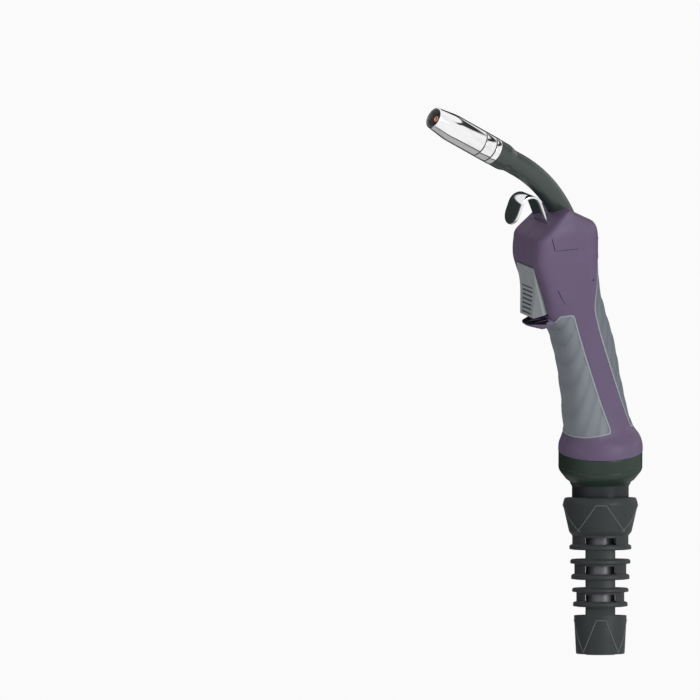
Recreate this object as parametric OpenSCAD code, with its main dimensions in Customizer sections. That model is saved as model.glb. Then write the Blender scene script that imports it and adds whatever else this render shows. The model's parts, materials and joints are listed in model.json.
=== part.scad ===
// MIG welding torch: two-shell pistol handle, bent neck with its gas nozzle and contact tip,
// hanging hook, trigger with microswitch, ball knuckle and slotted cable support.
// The origin is the centre of the knuckle ball. +Z runs up the cable's exit axis,
// the trigger faces -X and the torch's left side faces -Y.

/* [Handle] */
// Angle between the grip's own axis and the cable's exit axis
exit_angle = 15; // [10:1:20]
// Diameter of the round flange at the rear of the shells
flange_d = 55.4; // [52:0.2:60]
// Distance from the ball's centre to the flange's rear face
flange_height = 13.9; // [13.5:0.1:18]
// Wall of the shells
shell_wall = 2.6; // [2:0.1:3]
// Distance from the ball's centre to the middle of the trigger guard
guard_reach = 121; // [118:0.5:126]
// Length from the trigger guard to the nose's tip
head_length = 65; // [63:0.5:70]
// Width of the head across its flat sides
head_w = 39.6; // [36:0.2:44]
// Height of the head's crown above the grip's axis
crown_height = 38.8; // [38:0.2:44]
// Depth of the head's flat belly below the grip's axis
belly_depth = 18.6; // [17:0.2:20]
// Width of the grip
grip_w = 35; // [33:0.2:39]
// Height of the grip's back above the grip's axis
grip_back = 29.8; // [28.5:0.1:31]
// Depth of the grip's finger side below the grip's axis
grip_front = 9.8; // [9:0.1:12]
// Width of the nose around the neck
nose_w = 31; // [28:0.5:34]

/* [Grips] */
// Thickness of the soft grips
grip_thick = 1.5; // [1:0.1:1.6]
// Seam between a grip and its recess
grip_seam = 0.15; // [0.1:0.05:0.3]

/* [Neck] */
// Bend of the neck
neck_angle = 43; // [30:1:50]
// Radius of the neck's bend at its axis
neck_bend_r = 95; // [85:1:110]
// Straight length after the bend
neck_front = 22; // [18:0.5:30]
// Outer diameter of the neck's jacket
jacket_d = 15; // [14:0.2:15.6]
// Diameter of the jacket's flared front end
flare_d = 17.7; // [16.4:0.1:17.9]
// Length of the flared front end with its taper
flare_length = 15; // [12:0.5:17]
// Height of the neck's straight tail above the grip's axis
neck_height = 18.65; // [18:0.05:19.2]
// Outer diameter of the conductor tube
conductor_d = 9.3; // [8.6:0.1:9.4]
// Bore of the conductor tube
conductor_bore = 5.2; // [5:0.1:6]

/* [Nozzle] */
// Length of the gas nozzle
nozzle_length = 53; // [50:0.5:60]
// Outer diameter of the gas nozzle
nozzle_d = 18; // [17.8:0.1:19]
// Outer diameter of the nozzle's mouth
mouth_d = 14.2; // [13:0.1:16]
// Wall of the nozzle
nozzle_wall = 1.2; // [0.9:0.1:1.4]
// Length of the nozzle's tapered front
taper_length = 15; // [10:0.5:20]
// Diameter of the contact tip
tip_d = 6; // [6:0.1:7]
// Length of the contact tip
tip_length = 25; // [22:0.5:28]
// Bore of the contact tip for a 1.0 mm wire
wire_bore = 1.1; // [0.9:0.1:1.6]
// Setback of the contact tip behind the nozzle's mouth
tip_setback = 1.8; // [0:0.1:3]
// Wall of the nozzle's insulating bush
bush_wall = 1.3; // [1:0.1:1.4]

/* [Hook] */
// Width of the hook's strip
hook_w = 16; // [12:0.5:18]
// Thickness of the hook's strip
hook_t = 1.5; // [1.2:0.1:2]
// Inner radius of the hook's bend
hook_r = 6.8; // [6:0.1:7]
// Slope of the hook's legs from upright
hook_slope = 22; // [18:1:24]
// Length of the hook's free leg
hook_leg = 6; // [4:0.5:16]
// Gap between the hook's bend and the neck
hook_gap = 2.6; // [2:0.1:4]

/* [Trigger] */
// Width of the trigger at the shells
trigger_w = 20; // [18:0.5:21]
// Width of the trigger's finger face at its tip
finger_w = 14; // [12:0.5:16]
// Travel of the trigger in degrees
trigger_travel = 6; // [3:0.5:7]
// Diameter of the trigger's pin
pin_d = 4; // [3:0.1:5]
// Ribs on the trigger's finger face
trigger_ribs = 7; // [5:1:8]
// Width of the trigger guard
guard_w = 25; // [20:0.5:28]

/* [Switch] */
// Length of the microswitch
switch_length = 19.8; // [18:0.1:21]
// Width of the microswitch
switch_w = 6.4; // [5.5:0.1:8]
// Height of the microswitch
switch_height = 10.2; // [9:0.1:10.6]

/* [Knuckle] */
// Diameter of the knuckle's ball
ball_d = 43; // [40:0.2:43.2]
// Diameter of the ball's neck
ball_neck_d = 37.2; // [33:0.2:38]
// Outer diameter of the rear collar
collar_d = 55; // [53:0.2:58]
// Length of the rear collar
collar_length = 18.7; // [18:0.1:22]
// Outer diameter of the knuckle housing's spigot
spigot_d = 47.6; // [47:0.1:49]
// Bore for the cable
cable_bore = 16.6; // [12:0.2:17]

/* [Cable support] */
// Length of the cable support
support_length = 102.4; // [98:0.2:115]
// Drop from the ball's centre to the support's top
support_drop = 18; // [17:0.1:24]
// Largest diameter of the support's head
support_d = 49.3; // [47:0.1:52]
// Height of the support's head
support_head = 25; // [24:0.1:30]
// Diameter of the first rib
rib_d = 40.6; // [39:0.1:43]
// Width of a web between two ribs
web_w = 19; // [16:0.2:22]
// Tilt of the support about the ball at rest
support_tilt = 15; // [0:1:16]
// Direction of that tilt, as a turn about the exit axis
support_turn = -31; // [-90:1:90]

/* [Fits] */
// Gap between pieces that sit in each other
seat_gap = 0.15; // [0.1:0.05:0.25]
// Running clearance of the pin and the ball
run_gap = 0.06; // [0.03:0.01:0.1]

/* [Hidden] */

$fn = 64;
far = 400;
eps = 0.01;

// ---------- Handle form ----------
nose_x = guard_reach + head_length;
crown_x = nose_x - 24;
head_s = head_w / 2;
grip_s = grip_w / 2;
flange_r = flange_d / 2;
nose_z = 14;

// A row point (x, z) given in the handle's own frame, and the other way round
function row_to_handle(x, z) = [
    cos(exit_angle) * z - sin(exit_angle) * x, sin(exit_angle) * z + cos(exit_angle) * x];

// A section across the exit axis at height z: both ends, half width, shoulder share, squareness
function round_station(z, r) = concat(
    row_to_handle(-r, z), row_to_handle(r, z), [r, 0.5, 2, 2]);

// Sections from the flange to the nose: bottom x, z, top x, z, half width,
// height share of the widest line, squareness of the finger side and of the back
stations = [
    round_station(flange_height, flange_r),
    round_station(flange_height + 4.5, flange_r - 0.3),
    round_station(flange_height + 9.5, flange_r - 2),
    [34, -grip_front - 7, 25, grip_back - 1.6, grip_s + 3, 0.48, 2.2, 2.1],
    [46, -grip_front - 4.6, 43, grip_back - 1.6, grip_s + 0.4, 0.46, 2.5, 2.1],
    [65, -grip_front - 1.5, 65, grip_back - 0.9, grip_s - 0.3, 0.45, 2.7, 2.1],
    [82, -grip_front - 0.2, 82, grip_back + 0.4, grip_s - 0.5, 0.45, 2.8, 2.1],
    [96, -grip_front, 96, grip_back + 0.1, grip_s - 0.4, 0.46, 2.9, 2],
    [guard_reach - 12, -grip_front - 1.4, guard_reach - 12, grip_back - 0.8, grip_s, 0.5, 3.2, 1.9],
    [guard_reach, -belly_depth + 1.6, guard_reach, grip_back - 0.6, head_s - 1.6, 0.63, 4, 1.7],
    [guard_reach + 12, -belly_depth + 1.6, guard_reach + 12, grip_back + 1.6, head_s - 0.5, 0.65, 6, 1.5],
    [crown_x - 16, -belly_depth + 1, crown_x - 16, crown_height - 4, head_s, 0.62, 7, 1.45],
    [crown_x - 4, -belly_depth, crown_x - 4, crown_height - 0.6, head_s, 0.6, 7, 1.4],
    [crown_x + 3, -belly_depth + 1.2, crown_x + 3, crown_height - 1.6, head_s, 0.6, 7, 1.4],
    [crown_x + 9, -belly_depth + 3.4, crown_x + 9, crown_height - 7.4, head_s - 0.3, 0.64, 7, 1.4],
    [nose_x - 10.4, -belly_depth + 6, nose_x - 10.4, crown_height - 12.2, head_s - 0.9, 0.66, 7, 1.5],
    [nose_x - 6, -2.4, nose_x - 6, crown_height - 16.8, (head_s + nose_w / 2) / 2, 0.68, 7, 1.6],
    [nose_x - 2.3, nose_z - 8.5, nose_x - 2.3, nose_z + 5.3, nose_w / 2 + 1, 0.6, 5, 2],
    [nose_x - 0.4, nose_z - 3.6, nose_x - 0.4, nose_z + 2.4, nose_w / 2, 0.5, 4, 2.2]];

// Catmull-Rom value between b and c
function blend(a, b, c, d, t) = b + t / 2 * ((c - a) + t * ((2 * a - 5 * b + 4 * c - d)
    + t * (3 * b - a - 3 * c + d)));
function between(list, i, t) = blend(
    list[max(0, i - 1)], list[i], list[i + 1], list[min(len(list) - 1, i + 2)], t);
function refined(list, steps) = concat(
    [for (i = [0 : len(list) - 2], k = [0 : steps - 1]) between(list, i, k / steps)],
    [list[len(list) - 1]]);

// A station drawn in from the outside by d
function inset(s, d) =
    let (lo = [s[0], s[1]], hi = [s[2], s[3]], u = (hi - lo) / norm(hi - lo))
    concat(lo + d * u, hi - d * u, [s[4] - d, s[5], s[6], s[7]]);

function power(v, e) = sign(v) * pow(abs(v), e);
function section_point(s, a) =
    let (
        c = cos(a),
        v = sin(a),
        e = 2 / (v < 0 ? s[6] : s[7]),
        share = v < 0 ? s[5] * (1 - pow(-v, e)) : s[5] + (1 - s[5]) * pow(v, e))
    [s[0] + (s[2] - s[0]) * share, s[4] * power(c, e), s[1] + (s[3] - s[1]) * share];
function section_ring(s, count) = [
    for (k = [0 : count - 1]) section_point(s, 270 - 360 * (k + 0.5) / count)];

module loft(rings) {
    n = len(rings[0]);
    last = (len(rings) - 1) * n;
    polyhedron(
        points = [for (ring = rings) each ring],
        faces = concat(
            [[for (k = [n - 1 : -1 : 0]) k]],
            [[for (k = [0 : n - 1]) last + k]],
            [for (j = [0 : n : last - 1], k = [0 : n - 1]) each [
                [j + k, j + (k + 1) % n, j + n + (k + 1) % n],
                [j + k, j + n + (k + 1) % n, j + n + k]]]));
}

// A skin over a row of sections, each drawn in by d
module skin(list, d, sides) {
    loft([for (s = list) section_ring(inset(s, d), sides)]);
}

module body_form(d = 0, steps = 2, sides = 40) {
    skin(refined(stations, steps), d, sides);
}

// The hollow runs from inside the flange to inside the nose
cavity_stations = concat(
    [round_station(flange_height + shell_wall, flange_r)],
    [for (i = [2 : 15]) stations[i]]);

module cavity() {
    skin(cavity_stations, shell_wall, 24);
}

// Places a thing that is drawn in the handle's frame, x forward and z up
module in_handle() {
    rotate([0, 90 - exit_angle, 0]) rotate([0, 0, 180]) children();
}

// Places a thing that is drawn in the row's frame inside one drawn in the handle's frame
module in_row() {
    rotate([0, 0, 180]) rotate([0, exit_angle - 90, 0]) children();
}

// A side profile drawn in the handle's x and z, w wide
module side_plate(w) {
    rotate([90, 0, 0]) linear_extrude(w, center = true) children();
}

// One half of what is drawn: side is 1 for the left and -1 for the right
module half(side) {
    intersection() {
        children();
        translate([-far / 2, side > 0 ? 0 : -far / 2, -far / 2]) cube([2 * far, far / 2, far]);
    }
}

// ---------- Neck line ----------
neck_start_x = nose_x - 26.8;
union_x = 104;
neck_rear_x = union_x + 18;
// A tube's wall is this much thinner on each side where it is drawn round the bend
drawn = 0.03;
neck_end = [
    neck_start_x + neck_bend_r * sin(neck_angle) + neck_front * cos(neck_angle),
    neck_height - neck_bend_r * (1 - cos(neck_angle)) - neck_front * sin(neck_angle)];

// A round rod, or a tube where r_in is given, along the neck's line, from rear_x in the handle
// to cut short of the front end
module neck_tube(r, r_in, rear_x, cut) {
    translate([rear_x, 0, neck_height]) rotate([0, 90, 0])
        linear_extrude(neck_start_x - rear_x) annulus(r + drawn, r_in - drawn);
    neck_bend() annulus(r, r_in);
    at_neck_end() translate([0, 0, -neck_front - eps])
        linear_extrude(neck_front + eps - cut) annulus(r + drawn, r_in - drawn);
}

module annulus(r, r_in) {
    difference() {
        circle(r);
        if (r_in > 0) circle(r_in);
    }
}

// Sweeps what is drawn round the neck's bend
module neck_bend() {
    translate([neck_start_x, 0, neck_height - neck_bend_r]) rotate([90, 0, 0])
        rotate([0, 0, 90 - neck_angle])
            rotate_extrude(angle = neck_angle) translate([neck_bend_r, 0]) children();
}

// Origin at the neck's front end, +Z along the nozzle
module at_neck_end() {
    translate([neck_end[0], 0, neck_end[1]]) rotate([0, 90 + neck_angle, 0]) children();
}

// ---------- Places of the inner pieces, in the handle's frame ----------
boss_r = 4;
screw_r = 1.4;
screw_head_r = 2.5;
screw_head_h = 2;
screw_reach = 9;
screw_spots = [[nose_x - 17, -5], [nose_x - 43.5, 3.2], [84, -2.6], [43, -6.5]];
pivot = [nose_x - 36.5, -belly_depth + 6.2];
pin_length = trigger_w + 9;
slot_rear = guard_reach + 0.3;
slot_front = nose_x - 28.2;
slot_w = trigger_w + 4 * seat_gap;
slot_top = -6;
saddle_x = neck_rear_x + 4;
saddle_length = 12;
saddle_w = 20;
saddle_low = neck_height - 10.5;
saddle_top = neck_height - 0.5;
rib_t = 1.8;
plunger_x = pivot[0] - 18.5;
nub = [plunger_x, pivot[1] + 4.4];
plunger_gap = 2 * seat_gap;
plunger_r = 1.3;
plunger_stroke = (pivot[0] - plunger_x) * sin(trigger_travel);
switch_z = nub[1] + 5.2;
switch_x = plunger_x - 14.4;
peg_r = 1.1;
peg_spots = [[switch_x + 5.1, switch_z + 7.3], [switch_x + 14.6, switch_z + 7.3]];

// Points a cylinder across the handle at a spot of its x and z
module screw_line(spot) {
    translate([spot[0], 0, spot[1]]) rotate([90, 0, 0]) children();
}

// Room for the screws, whose heads sit in the right shell
module screw_room(gap) {
    for (spot = screw_spots) screw_line(spot) {
        cylinder(r = screw_r + gap / 2, h = 2 * screw_reach, center = true);
        translate([0, 0, screw_reach - screw_head_h]) cylinder(r = screw_head_r + gap, h = 20);
    }
}

// ---------- Knuckle heights, in the row's frame ----------
ball_r = ball_d / 2;
spigot_bore = ball_d + 0.4;
spigot_length = 15.8;
spigot_low = flange_height - spigot_length;
groove_r = spigot_d / 2 - 0.9;
web_low = flange_height - seat_gap;
web_high = flange_height + shell_wall + seat_gap;
lip_r = groove_r + 1.2;
lip_top = web_high + 1.35;

// ---------- Shells ----------
upper_grip_side = [
    [guard_reach + 22, 45], [guard_reach + 24, 27], [guard_reach - 4, 13.6], [95, 14], [64, 16.6],
    [25, 21.4], [23, 45]];
lower_grip_side = [
    [guard_reach - 2.6, -1.3], [95, 0.3], [64, 2.1], [34, 4.4], [30.3, 3.2], [34.3, -30],
    [guard_reach - 10, -30], [guard_reach - 5.6, -14.3], [guard_reach, -11.3]];

module grip_zone(outline, grow) {
    side_plate(2 * head_w) offset(delta = grow) polygon(outline);
}

module grip_recess() {
    difference() {
        union() {
            grip_zone(upper_grip_side, grip_seam);
            grip_zone(lower_grip_side, grip_seam);
        }
        body_form(grip_thick + grip_seam, 1, 32);
    }
}

// The guard's blade, thick at its root and thin at its rounded tip
module guard_form() {
    root = guard_w / 2 - 3.5;
    for (side = [-1, 1]) hull() {
        translate([guard_reach - 5.5, 0, -grip_front - 5]) scale([1, 1, 1.6])
            translate([0, side * (root - 2), 0]) sphere(4.4, $fn = 16);
        translate([guard_reach - 2.6, side * (root - 4), -belly_depth - 7.6]) sphere(1.6, $fn = 16);
        translate([guard_reach - 2.6, 0, -belly_depth - 8.4]) sphere(1.5, $fn = 16);
        translate([guard_reach - 4, 0, -grip_front - 5]) sphere(4, $fn = 16);
    }
}

// Low ribs across the crown for the thumb
module thumb_ribs() {
    for (i = [0 : 5])
        let (x = crown_x - 7 - 4 * i, z = crown_height - 2.1 - 1.1 * i, w = 4 - 0.3 * i)
            hull() for (side = [-1 : 1])
                translate([x, side * w, z - 0.4 - 1.5 * abs(side)]) sphere(1.2, $fn = 12);
}

// Ribs for the neck, bosses for the screws and the trigger's pin, pegs for the switch
module shell_ribs() {
    intersection() {
        body_form(shell_wall - 0.4, 1, 24);
        union() {
            for (x = [saddle_x - rib_t - seat_gap, saddle_x + saddle_length + seat_gap])
                translate([x, -head_w / 2, saddle_low]) cube([rib_t, head_w, saddle_top + 8 - saddle_low]);
            for (spot = screw_spots) screw_line(spot) cylinder(r = boss_r, h = head_w, center = true);
            screw_line(pivot) cylinder(r = pin_d / 2 + 2, h = head_w, center = true);
            for (spot = peg_spots) screw_line(spot) {
                cylinder(r = peg_r, h = head_w, center = true, $fn = 16);
                for (side = [-1, 1]) translate([0, 0, side * (switch_w / 2 + seat_gap + 10)])
                    cylinder(r = peg_r + 1.4, h = 20, center = true, $fn = 16);
            }
        }
    }
}

module shell(side) {
    $fn = 24;
    difference() {
        union() {
            half(side) difference() {
                union() {
                    body_form();
                    guard_form();
                    thumb_ribs();
                }
                cavity();
                grip_recess();
            }
            half(side) shell_ribs();
        }
        in_row() cylinder(r = groove_r + seat_gap, h = web_high + 1, $fn = 48);
        neck_tube(jacket_d / 2 + seat_gap, 0, neck_rear_x - 12, 0, $fn = 64);
        translate([slot_rear, -slot_w / 2, -belly_depth - 12])
            cube([slot_front - slot_rear, slot_w, belly_depth + 12 + slot_top]);
        screw_room(seat_gap);
        screw_line(pivot) cylinder(r = pin_d / 2 + seat_gap, h = pin_length + 0.4, center = true);
        hook_slot();
    }
}

module handle_left() {
    color("#6c5c7a") in_handle() shell(1);
}

module handle_right() {
    color("#6c5c7a") in_handle() shell(-1);
}

streak_pitch = 11;
streak_rise = 0.3;

// Slanted streaks that run down the grips
module streaks(low) {
    for (i = [0 : 7])
        let (x = 30 + streak_pitch * i)
            hull() {
                side_plate(2 * head_w) translate([x + 2, low]) circle(0.5, $fn = 6);
                side_plate(2 * head_w) translate([x + 13, low + 13]) circle(1.1, $fn = 6);
            }
}

module grip(side, outline, streak_low) {
    color("#7d838a") in_handle() half(side) {
        intersection() {
            grip_zone(outline, 0);
            difference() {
                body_form(0.05);
                body_form(grip_thick, 1, 32);
            }
        }
        intersection() {
            grip_zone(outline, -1);
            streaks(streak_low);
            difference() {
                body_form(-streak_rise, 1, 36);
                body_form(grip_thick / 2, 1, 32);
            }
        }
    }
}

module upper_grip_left() {
    grip(1, upper_grip_side, 16);
}

module upper_grip_right() {
    grip(-1, upper_grip_side, 16);
}

module lower_grip_left() {
    grip(1, lower_grip_side, -11);
}

module lower_grip_right() {
    grip(-1, lower_grip_side, -11);
}

module housing_screws() {
    color("#b8bcc0") in_handle() for (spot = screw_spots) screw_line(spot) difference() {
        union() {
            translate([0, 0, 0.5 - screw_reach]) cylinder(r = screw_r, h = 2 * screw_reach - screw_head_h);
            translate([0, 0, screw_reach - screw_head_h + seat_gap])
                cylinder(r = screw_head_r, h = screw_head_h);
        }
        translate([0, 0, screw_reach - 1]) cylinder(r = 1.3, h = 2, $fn = 6);
    }
}

// The cradle below the neck's straight tail, between the shells' ribs
module neck_saddle() {
    color("#3a3d40") in_handle() difference() {
        translate([saddle_x, -saddle_w / 2, saddle_low])
            cube([saddle_length, saddle_w, saddle_top - saddle_low]);
        neck_tube(jacket_d / 2 + seat_gap, 0, neck_rear_x - 12, 0);
    }
}

// ---------- Hook ----------
hook_x = nose_x + 9.1;
hook_reach = neck_bend_r - jacket_d / 2 - hook_r - hook_t - hook_gap;
hook_z = neck_height - neck_bend_r + sqrt(pow(hook_reach, 2) - pow(hook_x - neck_start_x, 2));
hook_centre = row_to_handle(hook_x, hook_z);
hook_tang = 27;

// The hook's strip in the row's frame, grown all round by g
module hook_strip(g) {
    t = hook_t + 2 * g;
    w = hook_w + 2 * g;
    mid_r = hook_r + hook_t / 2;
    translate([hook_centre[0], 0, hook_centre[1]]) {
        rotate([90, 0, 0]) rotate([0, 0, hook_slope]) rotate_extrude(angle = 180 - 2 * hook_slope)
            translate([mid_r - t / 2, -w / 2]) square([t, w]);
        rotate([0, -hook_slope, 0]) translate([mid_r - t / 2, -w / 2, -hook_tang])
            cube([t, w, hook_tang]);
        rotate([0, hook_slope, 0]) {
            translate([-mid_r - t / 2, -w / 2, -hook_leg]) cube([t, w, hook_leg]);
            translate([-mid_r - t / 2, 0, -hook_leg]) rotate([0, 90, 0]) cylinder(d = w, h = t);
        }
    }
}

module hook_slot() {
    in_row() intersection() {
        hook_strip(seat_gap);
        translate([hook_centre[0] + 4, -far / 2, hook_centre[1] - 60]) cube([60, far, 57]);
    }
}

module hanging_hook() {
    color("#c9ccd0") hook_strip(0);
}

// ---------- Neck ----------
insulation_r = jacket_d / 2 - 1.5;

module neck_jacket() {
    bore = insulation_r + seat_gap;
    color("#33393a") in_handle() {
        translate([neck_rear_x, 0, neck_height]) rotate([0, 90, 0])
            linear_extrude(neck_start_x - neck_rear_x) annulus(jacket_d / 2 + drawn, bore - drawn);
        neck_bend() annulus(jacket_d / 2, bore);
        at_neck_end() rotate_extrude() polygon([
            [bore - drawn, -neck_front - eps], [jacket_d / 2 + drawn, -neck_front - eps],
            [jacket_d / 2 + drawn, -flare_length], [flare_d / 2, -flare_length * 0.55],
            [flare_d / 2, 0], [bore - drawn, 0]]);
    }
}

holder_tail = 9;

module neck_insulation() {
    color("#e6e2d6") in_handle()
        neck_tube(insulation_r, conductor_d / 2 + seat_gap, neck_rear_x - 3, holder_tail + 2 * seat_gap);
}

module neck_conductor() {
    color("#b87333") in_handle() neck_tube(conductor_d / 2, conductor_bore / 2, union_x + 2, 1);
}

liner_r = conductor_bore / 2 - 2 * seat_gap;

module wire_liner() {
    color("#9aa0a6") in_handle() neck_tube(liner_r, 1, union_x - 10, 1 - tip_rear);
}

union_flats = 13;
thread_r = 5;

module neck_union() {
    color("#b5a050") in_handle() translate([union_x, 0, neck_height]) rotate([0, 90, 0]) difference() {
        union() {
            rotate([0, 0, 30]) cylinder(d = union_flats / cos(30), h = 12, $fn = 6);
            translate([0, 0, -12]) cylinder(r = thread_r, h = 12 + eps);
            translate([0, 0, 12 - eps]) cylinder(r = thread_r + 1, h = 2.4);
        }
        translate([0, 0, 1]) cylinder(d = conductor_d + 2 * seat_gap, h = 20);
        translate([0, 0, -13]) cylinder(d = conductor_bore, h = 20);
    }
}

module union_o_ring() {
    color("#1c1c1c") in_handle() translate([union_x - 1.1, 0, neck_height]) rotate([0, 90, 0])
        rotate_extrude() translate([thread_r + 0.9 + seat_gap, 0]) circle(0.9);
}

// ---------- Nozzle end, along the nozzle's axis from the neck's front face ----------
nozzle_rear = 2 * seat_gap;
mouth_at = nozzle_rear + nozzle_length;
tip_front = mouth_at - tip_setback;
tip_rear = tip_front - tip_length;
tip_thread = 5;
holder_front = tip_rear + tip_thread;
nozzle_bore = nozzle_d - 2 * nozzle_wall;
bush_bore = nozzle_bore - 2 * bush_wall - 2 * seat_gap;
bush_length = 20;
coil_steps = 8;
spring_wire = 0.9;
spring_turns = 5;
spring_r = bush_bore / 2 - seat_gap - spring_wire / 2;
holder_waist_r = (spring_r - spring_wire / 2) * cos(180 / coil_steps) - seat_gap;

module tip_holder() {
    color("#b5a050") in_handle() at_neck_end() difference() {
        union() {
            translate([0, 0, -holder_tail])
                cylinder(r = insulation_r - seat_gap, h = holder_tail + 1.2);
            cylinder(r = holder_waist_r, h = 15);
            translate([0, 0, 13]) cylinder(r = spring_r + 0.2, h = 2.4);
            translate([0, 0, 15]) cylinder(r = 4.6, h = holder_front - 15);
        }
        translate([0, 0, -holder_tail - 1]) cylinder(d = conductor_d + 2 * seat_gap, h = holder_tail + 0.6);
        translate([0, 0, -2]) cylinder(r = liner_r + seat_gap, h = tip_rear + 2);
        translate([0, 0, tip_rear - 0.2]) cylinder(r = tip_d / 2 + run_gap, h = tip_thread + 1);
        for (a = [0 : 90 : 270]) rotate([0, 0, a]) translate([0, 0, tip_rear - 5])
            rotate([0, 90, 0]) cylinder(r = 0.9, h = 10);
    }
}

// A wire of radius w wound at radius r, turns round over height h, six sides
module coil(r, w, turns, h) {
    steps = coil_steps * turns;
    lean = atan(h / turns / (2 * PI * r));
    loft([for (i = [0 : steps])
        let (a = 360 * i / coil_steps)
            [for (k = [0 : 5])
                let (b = 60 * k, out = r + w * cos(b), up = w * sin(b))
                    [out * cos(a) + up * sin(lean) * sin(a), out * sin(a) - up * sin(lean) * cos(a),
                        h * i / steps + up * cos(lean)]]]);
}

nozzle_spring_h = 9.6;
nozzle_spring_gap = nozzle_spring_h / spring_turns - spring_wire;

module nozzle_spring() {
    color("#8d9196") in_handle() at_neck_end() translate([0, 0, 2.3])
        coil(spring_r, spring_wire / 2, spring_turns, nozzle_spring_h);
}

module contact_tip() {
    color("#b5653a") in_handle() at_neck_end() difference() {
        union() {
            translate([0, 0, tip_rear]) cylinder(d = tip_d, h = tip_length - 5);
            translate([0, 0, tip_front - 5]) cylinder(d1 = tip_d, d2 = tip_d * 0.68, h = 5);
            translate([0, 0, holder_front + 0.2]) cylinder(d = tip_d + 1.6, h = 2.6);
        }
        translate([0, 0, tip_rear - 1]) cylinder(d = wire_bore, h = tip_length + 2);
        for (s = [-1, 1]) translate([-5, s > 0 ? 3.1 : -8.1, holder_front]) cube([10, 5, 4]);
    }
}

groove_spots = [4.4, 13.4];

module gas_nozzle() {
    straight = nozzle_length - taper_length;
    color("#d5d8db") in_handle() at_neck_end() translate([0, 0, nozzle_rear]) difference() {
        union() {
            cylinder(d = nozzle_d, h = straight);
            translate([0, 0, straight]) cylinder(d1 = nozzle_d, d2 = mouth_d, h = taper_length);
        }
        translate([0, 0, -1]) cylinder(d = nozzle_bore, h = straight + 1);
        translate([0, 0, straight - eps])
            cylinder(d1 = nozzle_bore, d2 = mouth_d - 2 * nozzle_wall, h = taper_length + 2 * eps);
        for (z = groove_spots) translate([0, 0, z]) rotate_extrude()
            translate([nozzle_d / 2 - 0.35, 0]) square([1, 0.7]);
    }
}

module nozzle_bush() {
    color("#5d4a3a") in_handle() at_neck_end() translate([0, 0, nozzle_rear + 0.6]) difference() {
        cylinder(d = nozzle_bore - 2 * seat_gap, h = bush_length);
        translate([0, 0, -1]) cylinder(d = bush_bore, h = bush_length + 2);
    }
}

// ---------- Trigger and switch ----------
trigger_tip = [guard_reach + 2.2, -belly_depth - 7.9];
finger_knee = [guard_reach + 22, -belly_depth - 1.2];
finger_front = [slot_front - 0.9, -belly_depth - 0.9];
// The return spring stands in a pocket of the trigger, below the second screw's boss
return_x = screw_spots[1][0];
return_top = screw_spots[1][1] - boss_r;
return_floor = pivot[1] - 1;

// The trigger narrows from the shells to the finger face
module finger_taper() {
    w = trigger_w / 2;
    translate([slot_rear, 0, 0]) rotate([90, 0, 90]) linear_extrude(slot_front - slot_rear) polygon([
        [-w, 0], [-w, -belly_depth], [-finger_w / 2, trigger_tip[1]], [finger_w / 2, trigger_tip[1]],
        [w, -belly_depth], [w, 0]]);
}

module trigger() {
    color("#7d838a") in_handle() difference() {
        union() {
            intersection() {
                side_plate(trigger_w) polygon([
                    trigger_tip, [slot_rear + 1.8, -belly_depth - 1], [slot_rear + 2.2, pivot[1] + 1],
                    [pivot[0] - 4, pivot[1] + 3], [pivot[0] + 1, pivot[1] + 3.4],
                    [finger_front[0], pivot[1] - 1], finger_front, finger_knee]);
                finger_taper();
            }
            side_plate(5) polygon([
                [nub[0] - 2.5, pivot[1]], [nub[0] - 1, nub[1]], [nub[0] + 1, nub[1]],
                [nub[0] + 2.5, pivot[1]]]);
            for (i = [0 : trigger_ribs - 1])
                let (t = (i + 0.7) / (trigger_ribs + 0.4), p = trigger_tip + t * (finger_knee - trigger_tip))
                    translate([p[0], 0, p[1]]) rotate([90, 0, 0])
                        cylinder(r = 0.55, h = finger_w - 3, center = true);
        }
        screw_line(pivot) cylinder(r = pin_d / 2 + run_gap, h = trigger_w + 2, center = true);
        translate([return_x, 0, return_floor]) cylinder(r = 3.2, h = 20);
    }
}

module trigger_pin() {
    color("#b8bcc0") in_handle() screw_line(pivot) cylinder(d = pin_d, h = pin_length, center = true);
}

return_turns = 6;
return_wire = 0.6;
return_h = return_top - return_floor - return_wire - 2 * seat_gap;

module trigger_spring() {
    color("#8d9196") in_handle() translate([return_x, 0, return_floor + return_wire / 2 + seat_gap])
        coil(2.3, return_wire / 2, return_turns, return_h);
}

module switch_body() {
    color("#26282b") in_handle() difference() {
        translate([switch_x, -switch_w / 2, switch_z])
            cube([switch_length, switch_w, switch_height]);
        translate([plunger_x, 0, switch_z - 1])
            cylinder(r = plunger_r + seat_gap, h = 3 + plunger_stroke);
        for (spot = peg_spots) screw_line(spot) cylinder(r = peg_r + seat_gap / 2, h = 20, center = true);
    }
}

module switch_plunger() {
    color("#c8452e") in_handle() {
        tip_z = nub[1] + plunger_gap + plunger_r;
        translate([plunger_x, 0, tip_z]) cylinder(r = plunger_r, h = switch_z - nub[1] - plunger_gap);
        translate([plunger_x, 0, tip_z]) sphere(plunger_r);
    }
}

// Three blades on the switch's rear end
module switch_terminals() {
    color("#b5a050") in_handle() for (z = [1.8, 4.7, 7.6])
        translate([switch_x - 4.6, -1.6, switch_z + z]) cube([4.6, 3.2, 0.8]);
}

// ---------- Knuckle, in the row's frame ----------
collar_low = web_low - collar_length;
ball_top = 13;
ball_low = -support_drop - 12;

module rear_collar() {
    chamfer = 6.2;
    color("#3c4643") difference() {
        union() {
            translate([0, 0, collar_low + chamfer]) cylinder(d = collar_d, h = collar_length - chamfer);
            translate([0, 0, collar_low]) cylinder(d1 = collar_d - 9.4, d2 = collar_d, h = chamfer);
        }
        translate([0, 0, spigot_low - seat_gap])
            cylinder(d = spigot_d + 2 * seat_gap, h = spigot_length + 1);
        sphere(ball_r + run_gap, $fn = 96);
    }
}

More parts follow.
